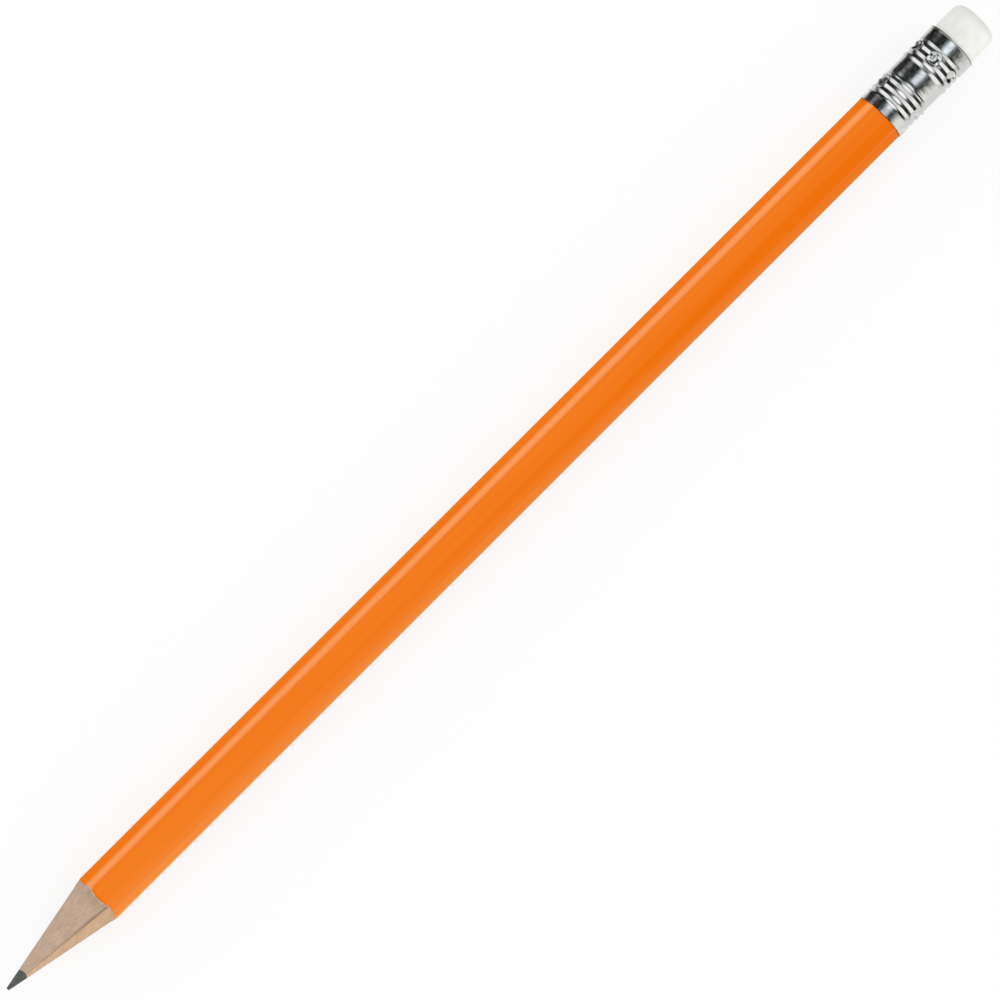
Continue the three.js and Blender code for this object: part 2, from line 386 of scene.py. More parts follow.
def fired_graphite():
    made, tree, output, bench = new_material("fired_graphite")
    rings = add(
        tree, "ShaderNodeTexNoise",
        {"Vector": stretched(tree, bench, 0.12, 1.5), "Scale": 1, "Detail": 3},
    ).outputs["Fac"]
    grain = add(
        tree, "ShaderNodeTexNoise",
        {"Vector": stretched(tree, bench, 0.3, 0.3), "Scale": 1, "Detail": 4},
    ).outputs["Fac"]
    colour = ramp(tree, grain, [(0.3, "4C564D"), (0.7, "606A60")])
    scored = add(
        tree, "ShaderNodeBump",
        {"Height": rings, "Distance": 0.02 * MM, "Strength": 0.5},
    ).outputs["Normal"]
    skin = add(
        tree, "ShaderNodeBsdfPrincipled",
        {"Base Color": colour, "Roughness": 0.45, "IOR": 1.6, "Normal": scored},
    )
    tree.links.new(skin.outputs["BSDF"], output.inputs["Surface"])
    return made


graphite = fired_graphite()
print("made", graphite.name)

# %% [markdown]
# ## Drawn aluminium
# The ferrule is a drawn aluminium tube, tumbled bright before its ridges are rolled in. Drawing leaves very
# fine lines along the tube, so its reflections smear round it and stay crisp along it.

# %% Ferrule material


def drawn_aluminium():
    made, tree, output, bench = new_material("drawn_aluminium")
    dulling = add(
        tree, "ShaderNodeTexNoise",
        {"Vector": stretched(tree, bench, 0.5, 0.3), "Scale": 1, "Detail": 4},
    ).outputs["Fac"]
    roughness = add(
        tree, "ShaderNodeMapRange",
        {"Value": dulling, "From Min": 0.3, "From Max": 0.7, "To Min": 0.15, "To Max": 0.26},
    ).outputs["Result"]
    colour = ramp(tree, dulling, [(0.3, "CDCECC"), (0.7, "DADBD9")])
    around = add(tree, "ShaderNodeTangent", {}, direction_type="RADIAL", axis="X").outputs["Tangent"]
    skin = add(
        tree, "ShaderNodeBsdfPrincipled",
        {"Base Color": colour, "Metallic": 1, "Roughness": roughness, "Anisotropic": 0.75,
         "Tangent": around},
    )
    tree.links.new(skin.outputs["BSDF"], output.inputs["Surface"])
    return made


aluminium = drawn_aluminium()
print("made", aluminium.name)

# %% [markdown]
# ## White vinyl
# The eraser is soft white vinyl filled with chalk. It is matte, a touch warmer than paper, with faint
# clouds and a fine powdery grain. Towards its end it is painted grey, as shade on its rounded edge.

# %% Eraser material
# How far back from the end the painted shade on the eraser's rounded edge reaches, in millimetres.
END_SHADE_REACH = 1.6


def chalky_vinyl():
    made, tree, output, bench = new_material("chalky_vinyl")
    clouds = add(
        tree, "ShaderNodeTexNoise",
        {"Vector": stretched(tree, bench, 1.6, 1.6), "Scale": 1, "Detail": 5},
    ).outputs["Fac"]
    clean = ramp(tree, clouds, [(0.3, "E9EAE4"), (0.7, "F3F3EF")])
    along = add(tree, "ShaderNodeSeparateXYZ", {"Vector": bench}).outputs["X"]
    # Painted shade: over its last stretch the eraser is mixed to grey, so that its rounded end stands out
    # from the white floor.
    painted_end_shade = add(
        tree, "ShaderNodeMapRange",
        {"Value": along, "From Min": eraser_end - END_SHADE_REACH, "From Max": eraser_end, "To Max": 0.8},
    ).outputs["Result"]
    colour = add(
        tree, "ShaderNodeMix", {0: painted_end_shade, 6: clean, 7: linear("D9DAD6")}, data_type="RGBA",
    ).outputs[2]
    powder = add(
        tree, "ShaderNodeTexNoise",
        {"Vector": stretched(tree, bench, 0.14, 0.14), "Scale": 1, "Detail": 2},
    ).outputs["Fac"]
    grained = add(
        tree, "ShaderNodeBump",
        {"Height": powder, "Distance": 0.02 * MM, "Strength": 0.4},
    ).outputs["Normal"]
    skin = add(
        tree, "ShaderNodeBsdfPrincipled",
        {"Base Color": colour, "Roughness": 0.8, "Specular IOR Level": 0.3, "Normal": grained},
    )
    tree.links.new(skin.outputs["BSDF"], output.inputs["Surface"])
    return made


vinyl = chalky_vinyl()
print("made", vinyl.name)

# %% [markdown]
# ## Finishing a piece
# Every new piece ends the same way: double points are merged, faces are turned outwards, the mesh is
# carried to the imported frame, the object takes its material, and the imported node it stands for is hidden.
# Smooth shading stops at edges sharper than a set angle, so rims stay crisp. The angle must be smaller than
# the cone's, or the long faces of the shank would shade as if they curved towards the point.

# %% One function that finishes a piece
RIM_ANGLE = 8
ROLLED_ANGLE = 60
MERGE_DISTANCE = 0.0005


def finish_piece(bm, name, material, node, sharp_degrees):
    bmesh.ops.remove_doubles(bm, verts=bm.verts[:], dist=MERGE_DISTANCE)
    bmesh.ops.recalc_face_normals(bm, faces=bm.faces[:])
    bmesh.ops.transform(bm, matrix=to_frame, verts=bm.verts[:])
    mesh = bpy.data.meshes.new(name)
    bm.to_mesh(mesh)
    bm.free()
    mesh.shade_smooth()
    mesh.set_sharp_from_angle(angle=math.radians(sharp_degrees))
    mesh.materials.append(material)
    piece = bpy.data.objects.new(name, mesh)
    bpy.context.scene.collection.objects.link(piece)
    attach(piece, "root")
    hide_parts(node)
    print(f"{name}: {len(mesh.polygons)} faces, {[round(side / MM, 2) for side in piece.dimensions]} mm")
    return piece


# %% [markdown]
# ## The sharpened surface
# A sharpener cuts wood, glue and paint to one cone, and where the blade runs out through the paint the
# cut gets steeper. This pencil was held a little askew, so the cone's axis dips under the upper flat by
# less than a degree, and the paint ends further back on top. One rule gives the cut for every layer: how
# far behind the point the surface passes a place across the pencil. The core is a hair thinner at the
# sides where the cone cuts it, so its border with the wood bows.

# %% The cone as a rule
POINT_RADIUS = 0.23
CONE_DEGREES = 22
BREAKOUT_DEGREES = 39
CONE_SLOPE = math.tan(math.radians(CONE_DEGREES / 2))
BREAKOUT_SLOPE = math.tan(math.radians(BREAKOUT_DEGREES / 2))
CONE_LEAN = math.radians(0.3)
CUT_ROUNDS = 6
CORE_BOW = 0.045
COAT_GAP = 0.01
PRIMER_THICKNESS = 0.04
NEAR = 0.001
wood_inset = undercoat_inset + PRIMER_THICKNESS + COAT_GAP
wood_apothem = shank_apothem - wood_inset


def sharpened(radius):
    """How far along its own axis the cone reaches a radius."""
    cone_radius = min(radius, wood_apothem)
    return (cone_radius - POINT_RADIUS) / CONE_SLOPE + (radius - cone_radius) / BREAKOUT_SLOPE


def cut_at(across, up):
    """How far behind the point the leaning cone passes a place, closing in on it in a few rounds."""
    along = sharpened(math.hypot(across, up))
    for _ in range(CUT_ROUNDS):
        height = along * math.sin(CONE_LEAN) + up * math.cos(CONE_LEAN)
        along = (sharpened(math.hypot(across, height)) + up * math.sin(CONE_LEAN)) / math.cos(CONE_LEAN)
    return along


def radius_of(vert):
    return math.hypot(vert.co.y, vert.co.z)


def set_radius(vert, radius):
    share = radius / radius_of(vert)
    vert.co.y *= share
    vert.co.z *= share


def core_border(vert):
    """The core's radius where the cone cuts it, a little less at the sides, so that the border bows."""
    aside = vert.co.y / radius_of(vert)
    return core_radius - CORE_BOW * aside ** 2


print("core shows for", [round(cut_at(*side), 2) for side in ((0, core_radius), (core_radius, 0))], "mm")
print("paint cut at", [round(cut_at(0, side), 2) for side in (shank_apothem, -shank_apothem)], "mm")

# %% [markdown]
# ## The shank's outline
# A pencil is milled with six flats and rounded corners. The outline starts as a circle of six points; a
# bevel of its corners gives the rounding, and the flats left between are cut into short steps so that the
# sharpened edge can bow along them.

# %% The six-sided outline
CORNER_RADIUS = 2.45
CORNER_STEPS = 14
FLAT_CUTS = 4


def shank_outline(bm, inset):
    """A ring of edges across the pencil, set in from the surface of the shank."""
    sharp_radius = (shank_apothem - inset) / math.cos(math.pi / 6)
    upright = Matrix.Rotation(math.pi / 2, 4, "Y")
    made = bmesh.ops.create_circle(bm, cap_ends=True, segments=6, radius=sharp_radius, matrix=upright)
    bmesh.ops.bevel(
        bm, geom=made["verts"], offset=(CORNER_RADIUS - inset) * math.tan(math.pi / 6),
        offset_type="OFFSET", affect="VERTICES", segments=CORNER_STEPS, profile=0.5, material=-1,
    )
    longest = max(edge.calc_length() for edge in bm.edges)
    flats = [edge for edge in bm.edges if edge.calc_length() > longest / 2]
    bmesh.ops.subdivide_edges(bm, edges=flats, cuts=FLAT_CUTS)
    bmesh.ops.delete(bm, geom=bm.faces[:], context="FACES_ONLY")
    return bm.edges[:]


trial = bmesh.new()
outline_points = len(shank_outline(trial, 0))
outline_radii = [radius_of(vert) for vert in trial.verts]
print(outline_points, "points,", round(min(outline_radii), 3), "to", round(max(outline_radii), 3), "mm out")
print("highest point", round(max(vert.co.z for vert in trial.verts), 3))
trial.free()

# %% [markdown]
# ## The two coats of paint
# Each coat is a thin shell: the outline is drawn out along the shank and given its thickness inwards. The
# points of the front rim then move to the sharpened surface, which makes the scallops by itself, because
# the corners lie further from the axis than the flats. The blade also chips the dry paint back from its
# cut, most in the middle of each flat. The depth is given for turns away from the middle of the upper flat,
# in degrees and millimetres, and the lower side mirrors it.

# %% Chipped edge of the paint
CHIPS = [
    (-90, 0.05), (-60, 0.55), (-48, 0.4), (-38, 0.36), (-20, 0.08), (0, 0.3),
    (20, 0.1), (35, 0.31), (47, 0.35), (60, 0.58), (90, 0.3),
]


def chipped(across, up):
    """How far back the paint is chipped, by degrees from the middle of the upper or the lower flat."""
    turn = math.degrees(math.atan2(across, abs(up)))
    start, end = next(pair for pair in zip(CHIPS, CHIPS[1:]) if turn < pair[1][0] + NEAR)
    share = (turn - start[0]) / (end[0] - start[0])
    return start[1] + share * (end[1] - start[1])


print(f"chipped back by {chipped(0, 1):.2f} mm on the upper flat and {chipped(1, 0):.2f} mm at the side")

# %% Paint shells
LACQUER_THICKNESS = undercoat_inset - COAT_GAP
LACQUER_WANDER = 0.08
PRIMER_WANDER = 0.05
WANDER_SEED = 10
COARSE_WANDER = 1.1
FINE_WANDER = 3.1
FINE_SHARE = 0.6


def paint_shell(name, inset, thickness, wander, material, node):
    bm = bmesh.new()
    edges = shank_outline(bm, inset)
    back_verts = bm.verts[:]
    bmesh.ops.extrude_edge_only(bm, edges=edges)
    bmesh.ops.translate(bm, verts=back_verts, vec=(shoulder, 0, 0))
    bmesh.ops.recalc_face_normals(bm, faces=bm.faces[:])
    if bm.faces[0].normal.dot(bm.faces[0].calc_center_median() * Vector((0, 1, 1))) < 0:
        bmesh.ops.reverse_faces(bm, faces=bm.faces[:])
    bmesh.ops.solidify(bm, geom=bm.faces[:], thickness=thickness)
    for vert in bm.verts:
        if vert.co.x < shoulder / 2:
            place = Vector((vert.co.y, vert.co.z, WANDER_SEED * inset))
            drift = noise.noise(place * COARSE_WANDER) + FINE_SHARE * noise.noise(place * FINE_WANDER)
            vert.co.x = cut_at(vert.co.y, vert.co.z) + chipped(vert.co.y, vert.co.z) + wander * drift
    return finish_piece(bm, name, material, node, RIM_ANGLE)


paint = paint_shell(
    "orange_coat", 0, LACQUER_THICKNESS, LACQUER_WANDER, lacquer, "colour_coat",
)
paint_shell(
    "primer_coat", undercoat_inset, PRIMER_THICKNESS, PRIMER_WANDER, primer, "undercoat",
)

# %% [markdown]
# ## The two slats
# A slat is half of the blank: the outline, drawn inwards in rings to the bore for the core, cut in two
# along the glue seam. The half ring is grown along the pencil, turned down to a tenon inside the ferrule,
# and its front face moves to the sharpened cone.

# %% Wood halves
GLUE_THICKNESS = 0.08
GLUE_GAP = 0.01
TENON_CUT = 0.11
PLANE_SNAP = 0.0001
RING_SHARES = (0.97, 0.97, 0.97, 0.96, 0.95, 0.85, 0.7, 0.5, 0)
tenon_radius = shank_radius - wood_inset - TENON_CUT
bore_radius = core_radius + GLUE_GAP


def ring_inside(bm, edges, share):
    """A further ring of edges, this share of the last ring's way out from the bore, with faces between."""
    made = bmesh.ops.extrude_edge_only(bm, edges=edges)["geom"]
    for vert in made:
        if isinstance(vert, bmesh.types.BMVert):
            set_radius(vert, bore_radius + share * (radius_of(vert) - bore_radius))
    return [edge for edge in made if isinstance(edge, bmesh.types.BMEdge)]


def grown(bm, faces, keep=False):
    """Extrudes a region, and gives its new faces and points. The old faces go unless they are kept."""
    made = bmesh.ops.extrude_face_region(bm, geom=faces)["geom"]
    if not keep:
        bmesh.ops.delete(bm, geom=faces, context="FACES")
    new_faces = [face for face in made if isinstance(face, bmesh.types.BMFace)]
    new_verts = [vert for vert in made if isinstance(vert, bmesh.types.BMVert)]
    return new_faces, new_verts


def wood_half(name, side, material, node):
    bm = bmesh.new()
    ring = shank_outline(bm, wood_inset)
    for share in RING_SHARES:
        ring = ring_inside(bm, ring, share)
    across_seam = side * SEAM_NORMAL
    bmesh.ops.bisect_plane(
        bm, geom=bm.verts[:] + bm.edges[:] + bm.faces[:], dist=PLANE_SNAP,
        plane_co=(GLUE_THICKNESS / 2 + GLUE_GAP) * across_seam, plane_no=across_seam, clear_inner=True,
    )
    front_verts = bm.verts[:]
    at_shoulder, shoulder_verts = grown(bm, bm.faces[:], keep=True)
    bmesh.ops.translate(bm, verts=shoulder_verts, vec=(shoulder, 0, 0))
    at_tenon, tenon_verts = grown(bm, at_shoulder)
    for vert in tenon_verts:
        set_radius(vert, min(radius_of(vert), tenon_radius))
    end_verts = grown(bm, at_tenon)[1]
    bmesh.ops.translate(bm, verts=end_verts, vec=(tenon_end - shoulder, 0, 0))
    for vert in front_verts:
        if radius_of(vert) < bore_radius + NEAR:
            set_radius(vert, core_border(vert) + GLUE_GAP)
        vert.co.x = cut_at(vert.co.y, vert.co.z)
    return finish_piece(bm, name, material, node, RIM_ANGLE)


wood_half("dark_wood_half", 1, dark_wood, "dark_slat")
wood_half("pale_wood_half", -1, pale_wood, "pale_slat")

# %% [markdown]
# ## The glue seams
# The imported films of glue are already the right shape, so they stay and only take the glue's finish.

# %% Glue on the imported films
for seam in ("upper_glue_seam", "lower_glue_seam"):
    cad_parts[seam].data.materials[0] = glue
print("glue on both seams")

# %% [markdown]
# ## Turned pieces
# The core, the ferrule and the eraser are round, so each is a profile spun about the pencil's axis. A
# profile is a chain of points, each a place along the pencil and a radius.

# %% Spinning a profile


def spun(profile, steps):
    """A bmesh spun about X from pairs of place along the axis and radius."""
    bm = bmesh.new()
    verts = [bm.verts.new((along, radius, 0)) for along, radius in profile]
    edges = [bm.edges.new(pair) for pair in zip(verts, verts[1:])]
    bmesh.ops.spin(
        bm, geom=verts + edges, cent=(0, 0, 0), axis=(1, 0, 0),
        angle=2 * math.pi, steps=steps, use_merge=True,
    )
    bmesh.ops.remove_doubles(bm, verts=bm.verts[:], dist=MERGE_DISTANCE)
    return bm


def arc(centre, radii, start, end, steps):
    """Points on part of an ellipse, by angle in degrees from the axis direction."""
    points = []
    for step in range(steps + 1):
        turn = math.radians(start + (end - start) * step / steps)
        points.append((centre[0] + radii[0] * math.cos(turn), centre[1] + radii[1] * math.sin(turn)))
    return points


# %% The graphite rod
TIP_ROUND = 0.12
TIP_STEPS = 6
ROD_STEPS = 64
tip_middle = (TIP_ROUND, POINT_RADIUS - TIP_ROUND)
rod = spun(
    [(0, 0)]
    + arc(tip_middle, (TIP_ROUND, TIP_ROUND), 180, 90 + CONE_DEGREES / 2, TIP_STEPS)
    + [(sharpened(core_radius), core_radius), (tenon_end, core_radius), (tenon_end, 0)],
    ROD_STEPS,
)
for vert in rod.verts:
    if vert.co.x < tenon_end / 2 and radius_of(vert) > core_radius - NEAR:
        set_radius(vert, core_border(vert))
        vert.co.x = cut_at(vert.co.y, vert.co.z)
finish_piece(rod, "graphite_rod", graphite, "graphite_core", RIM_ANGLE)

# %% [markdown]
# ## The ferrule
# A tube is slipped over the tenon, the eraser is pushed in, and rollers press grooves that leave two
# groups of ridges with straight flanks and narrow crests. Then punches dent it: three marks bite into the
# wood and six into the eraser. The profile is written as its grooves and crests, with flanks drawn between
# them. The dents are pressed into the spun mesh by moving its points. The ridges beside a dent bow away
# from it, and the lining inside the tube gives way under it.

# %% Ferrule profile
FERRULE_WALL = 0.22
FERRULE_FIT = 0.03
BAND_RADIUS = tenon_radius + FERRULE_FIT + FERRULE_WALL
WOOD_BAND_RISE = 0.09
ERASER_BAND_RISE = 0.095
ERASER_RIM_LIP = 0.05
MIDDLE_BAND_RISE = 0.01
RIM_WIDTH = 0.13
RIM_STEPS = 8
RIDGE_PITCH = 1.05
WOOD_RIDGES_AT = 3.53
ERASER_RIDGES_AT = 9.87
FLANK_STEPS = 11
CREST_SHARPNESS = 0.965


def flank(share):
    """Nought to one along a straight flank that turns sharply at its foot and its crest."""
    return 0.5 - 0.5 * math.asin(CREST_SHARPNESS * math.cos(math.pi * share)) / math.asin(CREST_SHARPNESS)


def rolled(middle, keys):
    """A stretch of profile through pairs of place, in half pitches from the middle, and height in mm."""
    places = [(middle + halves * RIDGE_PITCH / 2, BAND_RADIUS + height) for halves, height in keys]
    points = []
    for (start, low), (end, high) in zip(places, places[1:]):
        for step in range(FLANK_STEPS):
            share = step / FLANK_STEPS
            points.append((start + share * (end - start), low + (high - low) * flank(share)))
    return points + places[-1:]


def band(start, end, radius, steps):
    return [(start + (end - start) * step / steps, radius) for step in range(steps + 1)]


WOOD_KEYS = [
    (-3.7, WOOD_BAND_RISE), (-3, -0.055), (-2, 0.11), (-1, -0.055), (0, 0.135), (1, -0.05),
    (2, 0.175), (2.9, -0.05), (3.25, 0.04), (3.7, -0.035), (4.6, MIDDLE_BAND_RISE),
]
ERASER_KEYS = [
    (-3.1, MIDDLE_BAND_RISE), (-2, 0.17), (-1, -0.05), (0, 0.165), (1, -0.05), (2, 0.145), (3, -0.07),
    (3.9, 0.12), (4.5, ERASER_BAND_RISE),
]
WOOD_BAND_STEPS = 10
MIDDLE_BAND_STEPS = 20
ERASER_BAND_STEPS = 8
BEFORE_WOOD_RIDGES = 0.05
BEHIND_WOOD_RIDGES = 0.2
BESIDE_ERASER_RIDGES = 0.1
RIM_REACH = 2.5


def ferrule_outside():
    length = ferrule_end - ferrule_start
    middle_band = BAND_RADIUS + MIDDLE_BAND_RISE
    wood_band = BAND_RADIUS + WOOD_BAND_RISE
    eraser_band = BAND_RADIUS + ERASER_BAND_RISE
    wood_ridges = rolled(WOOD_RIDGES_AT, WOOD_KEYS)
    eraser_ridges = rolled(ERASER_RIDGES_AT, ERASER_KEYS)
    middle_start = wood_ridges[-1][0] + BEHIND_WOOD_RIDGES
    middle_end = eraser_ridges[0][0] - BESIDE_ERASER_RIDGES
    rim_start = eraser_ridges[-1][0] + BESIDE_ERASER_RIDGES
    rim_end = length - RIM_REACH * RIM_WIDTH
    points = (
        band(0, wood_ridges[0][0] - BEFORE_WOOD_RIDGES, wood_band, WOOD_BAND_STEPS)
        + wood_ridges
        + band(middle_start, middle_end, middle_band, MIDDLE_BAND_STEPS)
        + eraser_ridges
        + band(rim_start, rim_end, eraser_band, ERASER_BAND_STEPS)
        + arc((length - RIM_WIDTH, eraser_band), (RIM_WIDTH, ERASER_RIM_LIP), 180, 0, RIM_STEPS)
    )
    return [(ferrule_start + along, radius) for along, radius in points]


LINING_STRIDE = 3
LINING_GAP = 0.005
outside = ferrule_outside()
lining_radius = tenon_radius + LINING_GAP
inside = [(along, max(radius - FERRULE_WALL, lining_radius)) for along, radius in outside[::LINING_STRIDE]]
print(f"ferrule profile of {len(outside)} points outside and {len(inside)} inside")

# %% Punch marks
WOOD_PUNCH_DEPTH = 0.08
ERASER_PUNCH_DEPTH = 0.14
WOOD_PUNCH_LENGTH = 0.95
ERASER_PUNCH_LENGTH = 0.76
PUNCH_WIDTH = 0.85
PUNCH_FLAT = 0.5
PUNCH_WALL = 0.5
PUNCH_LIP = 0.05
LIP_MIDDLE = 1.15
LIP_SPREAD = 0.25
PUNCH_REACH = 3
PRESSED_WALL = 0.05
RIDGE_BOW = 0.3
WOBBLE = 0.008
COARSE_WOBBLE = 0.9
FINE_WOBBLE = 2.3
FINE_WOBBLE_SHARE = 0.5
WOOD_PUNCH_TURNS = (59, 180, 300)
ERASER_PUNCH_TURNS = (7, 60, 127, 187, 247, 309)
WOOD_PUNCHES = [
    (WOOD_RIDGES_AT, math.radians(turn), WOOD_PUNCH_DEPTH, WOOD_PUNCH_LENGTH) for turn in WOOD_PUNCH_TURNS
]
ERASER_PUNCHES_AT = ERASER_RIDGES_AT + 0.65 * RIDGE_PITCH
ERASER_PUNCHES = [
    (ERASER_PUNCHES_AT, math.radians(turn), ERASER_PUNCH_DEPTH, ERASER_PUNCH_LENGTH)
    for turn in ERASER_PUNCH_TURNS
]


def press_punches(bm):
    bmesh.ops.recalc_face_normals(bm, faces=bm.faces[:])
    bm.normal_update()
    for vert in bm.verts:
        lining = vert.normal.dot(vert.co * Vector((0, 1, 1))) < 0
        wobble = noise.noise(vert.co * COARSE_WOBBLE)
        wobble += FINE_WOBBLE_SHARE * noise.noise(vert.co * FINE_WOBBLE)
        set_radius(vert, radius_of(vert) + WOBBLE * wobble)
        turn = math.atan2(vert.co.y, vert.co.z)
        for along, punch_turn, depth, length in WOOD_PUNCHES + ERASER_PUNCHES:
            aside = BAND_RADIUS * math.remainder(turn - punch_turn, 2 * math.pi) / PUNCH_WIDTH
            ahead = (vert.co.x - ferrule_start - along) / length
            reach = math.hypot(ahead, aside)
            pit = BAND_RADIUS - depth + PUNCH_WALL * max(reach - PUNCH_FLAT, 0)
            if lining:
                set_radius(vert, min(radius_of(vert), pit - PRESSED_WALL))
            elif reach < PUNCH_REACH and radius_of(vert) > BAND_RADIUS - FERRULE_WALL / 2:
                lip = PUNCH_LIP * math.exp(-((reach - LIP_MIDDLE) / LIP_SPREAD) ** 2)
                set_radius(vert, min(radius_of(vert) + lip, pit))
                vert.co.x += RIDGE_BOW * ahead * math.exp(-reach ** 2)


FERRULE_STEPS = 220
tube = spun(outside + inside[::-1] + outside[:1], FERRULE_STEPS)
press_punches(tube)
ferrule_piece = finish_piece(tube, "metal_ferrule", aluminium, "ferrule", ROLLED_ANGLE)

# %% [markdown]
# ## The eraser
# A plug of vinyl, gripped by the ferrule, with a rounded edge and a slightly crowned end.

# %% Eraser plug
EDGE_RADIUS = 1.3
EDGE_STEPS = 14
CROWN = 0.12
CROWN_STEPS = 8
PLUG_STEPS = 96
GRIP_FLARE = 0.3
plug_radius = tenon_radius
grip_end = ferrule_start + ERASER_RIDGES_AT + 1.5 * RIDGE_PITCH
flat_radius = eraser_radius - EDGE_RADIUS
gripped = [
    (eraser_start, 0), (eraser_start, plug_radius),
    (grip_end, plug_radius), (grip_end + GRIP_FLARE, eraser_radius),
]
edge_middle = (eraser_end - CROWN - EDGE_RADIUS, flat_radius)
edge = arc(edge_middle, (EDGE_RADIUS, EDGE_RADIUS), 90, 0, EDGE_STEPS)
crown = [
    (eraser_end - CROWN * (step / CROWN_STEPS) ** 2, flat_radius * step / CROWN_STEPS)
    for step in range(CROWN_STEPS - 1, -1, -1)
]
plug = spun(gripped + edge + crown, PLUG_STEPS)
eraser_piece = finish_piece(plug, "white_eraser", vinyl, "eraser", ROLLED_ANGLE)

# %% [markdown]
# ## Floor
# The pencil lies on a plain white sheet, at the height of the lowest ridge. The camera, mirrors and glass
# see it lifted towards pure white, and it still takes the pencil's soft shadow.

# %% White floor
FLOOR_REACH = 6
FLOOR_LIFT = 0.82
floor_bm = bmesh.new()
bmesh.ops.create_grid(floor_bm, x_segments=1, y_segments=1, size=FLOOR_REACH)
lowest_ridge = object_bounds()[0].z
bmesh.ops.translate(floor_bm, verts=floor_bm.verts[:], vec=(0, 0, lowest_ridge))
floor_mesh = bpy.data.meshes.new("floor")
floor_bm.to_mesh(floor_mesh)
floor_bm.free()
floor = bpy.data.objects.new("floor", floor_mesh)
bpy.context.scene.collection.objects.link(floor)


def seen_directly(tree):
    """One for rays from the camera, or from it by way of a mirror or glass, and nought for others."""
    path = add(tree, "ShaderNodeLightPath", {}).outputs
    mirrored = add(
        tree, "ShaderNodeMath",
        {0: path["Is Glossy Ray"], 1: path["Is Transmission Ray"]},
        operation="MAXIMUM",
    ).outputs["Value"]
    return add(
        tree, "ShaderNodeMath", {0: path["Is Camera Ray"], 1: mirrored}, operation="MAXIMUM",
    ).outputs["Value"]


paper, tree, output, _ = new_material("white_paper")
paper_skin = add(tree, "ShaderNodeBsdfDiffuse", {"Color": linear("F4F4F4")}).outputs["BSDF"]
glow = add(tree, "ShaderNodeEmission", {"Color": linear("FFFFFF"), "Strength": 1}).outputs["Emission"]
lift = add(
    tree, "ShaderNodeMath", {0: seen_directly(tree), 1: FLOOR_LIFT}, operation="MULTIPLY",
).outputs["Value"]
lifted = add(tree, "ShaderNodeMixShader", {0: lift, 1: paper_skin, 2: glow}).outputs["Shader"]
tree.links.new(lifted, output.inputs["Surface"])
floor_mesh.materials.append(paper)
print("floor", 2 * FLOOR_REACH, "m wide")

# %% [markdown]
# ## Light
# A bright even room gives nearly all the light, and a large soft lamp on either side lifts the slopes of
# the shank to the level of its top. The left one is kept off the white eraser, whose edge would be lost
# against the floor. The room isn't sampled as a lamp, so that mirrors only see what is there.

# %% Room and side lamps
ROOM_LIGHT = 0.945
LAMPS_ALONG = 94
LAMP_AWAY = 620
LAMP_HEIGHT = 290
LAMP_SIZE = (600, 500)
LEFT_BRIGHTNESS = 0.86
RIGHT_BRIGHTNESS = 0.8
room = bpy.data.worlds.new("room")
bpy.context.scene.world = room
room.use_nodes = True
room.cycles.sampling_method = "NONE"
tree = room.node_tree
tree.nodes.clear()
strength = add(
    tree, "ShaderNodeMapRange", {"Value": seen_directly(tree), "To Min": ROOM_LIGHT, "To Max": 1},
).outputs["Result"]
air = add(
    tree, "ShaderNodeBackground", {"Color": linear("FFFFFF"), "Strength": strength},
).outputs["Background"]
add(tree, "ShaderNodeOutputWorld", {"Surface": air})


def link_light(made, pieces, state):
    """Lets a lamp or a glowing sheet light only some pieces, or all but some: INCLUDE or EXCLUDE."""
    receivers = bpy.data.collections.new(made.name + "_pieces")
    for piece in pieces:
        receivers.objects.link(piece)
    for entry in receivers.collection_objects:
        entry.light_linking.link_state = state
    made.light_linking.receiver_collection = receivers


def softbox(name, centre, target, size, brightness, mirrors=None, colour="FFFFFF", roll=0):
    """A rectangular lamp on the bench, as bright to look at as a number of white sheets.

    With a list of mirrors it only shows as a reflection, and only in those pieces.
    """
    lamp = bpy.data.lights.new(name, "AREA")
    lamp.shape = "RECTANGLE"
    lamp.size, lamp.size_y = (side * MM for side in size)
    lamp.energy = math.pi * lamp.size * lamp.size_y * brightness
    lamp.color = linear(colour)[:3]
    holder = bpy.data.objects.new(name, lamp)
    facing = (Vector(target) - Vector(centre)).to_track_quat("-Z", "Y").to_matrix().to_4x4()
    holder.matrix_world = facing @ Matrix.Rotation(roll, 4, "Z")
    holder.location = to_frame @ Vector(centre)
    holder.visible_camera = False
    bpy.context.scene.collection.objects.link(holder)
    if mirrors:
        holder.visible_diffuse = False
        link_light(holder, mirrors, "INCLUDE")
    else:
        holder.visible_glossy = False
    return holder


lit_place = (LAMPS_ALONG, 0, 0)
left_place = (LAMPS_ALONG, LAMP_AWAY, LAMP_HEIGHT)
right_place = (LAMPS_ALONG, -LAMP_AWAY, LAMP_HEIGHT)
left_softbox = softbox("left_softbox", left_place, lit_place, LAMP_SIZE, LEFT_BRIGHTNESS)
link_light(left_softbox, [eraser_piece], "EXCLUDE")
softbox("right_softbox", right_place, lit_place, LAMP_SIZE, RIGHT_BRIGHTNESS)
print("room", ROOM_LIGHT, "and two side lamps")

# %% [markdown]
# ## What the shiny pieces mirror
# Lacquer and metal look like the things round them. As in a studio, a black dome and black flags on the
# floor keep stray white out of them, and lamps and cards inside the dome are what they show: for the shank
# a long soft strip on one side and sheets that fade towards the eraser, and for the ferrule a set of cards.
# The sheets have little red in them, because orange lacquer is nearly as red as white already. All of these
# exist only in reflections, so they cast no shadow and hide nothing. The flags, sheets and cards are listed
# by where they lie, how large they are and how bright, in bench millimetres.

# %% Black dome and flags


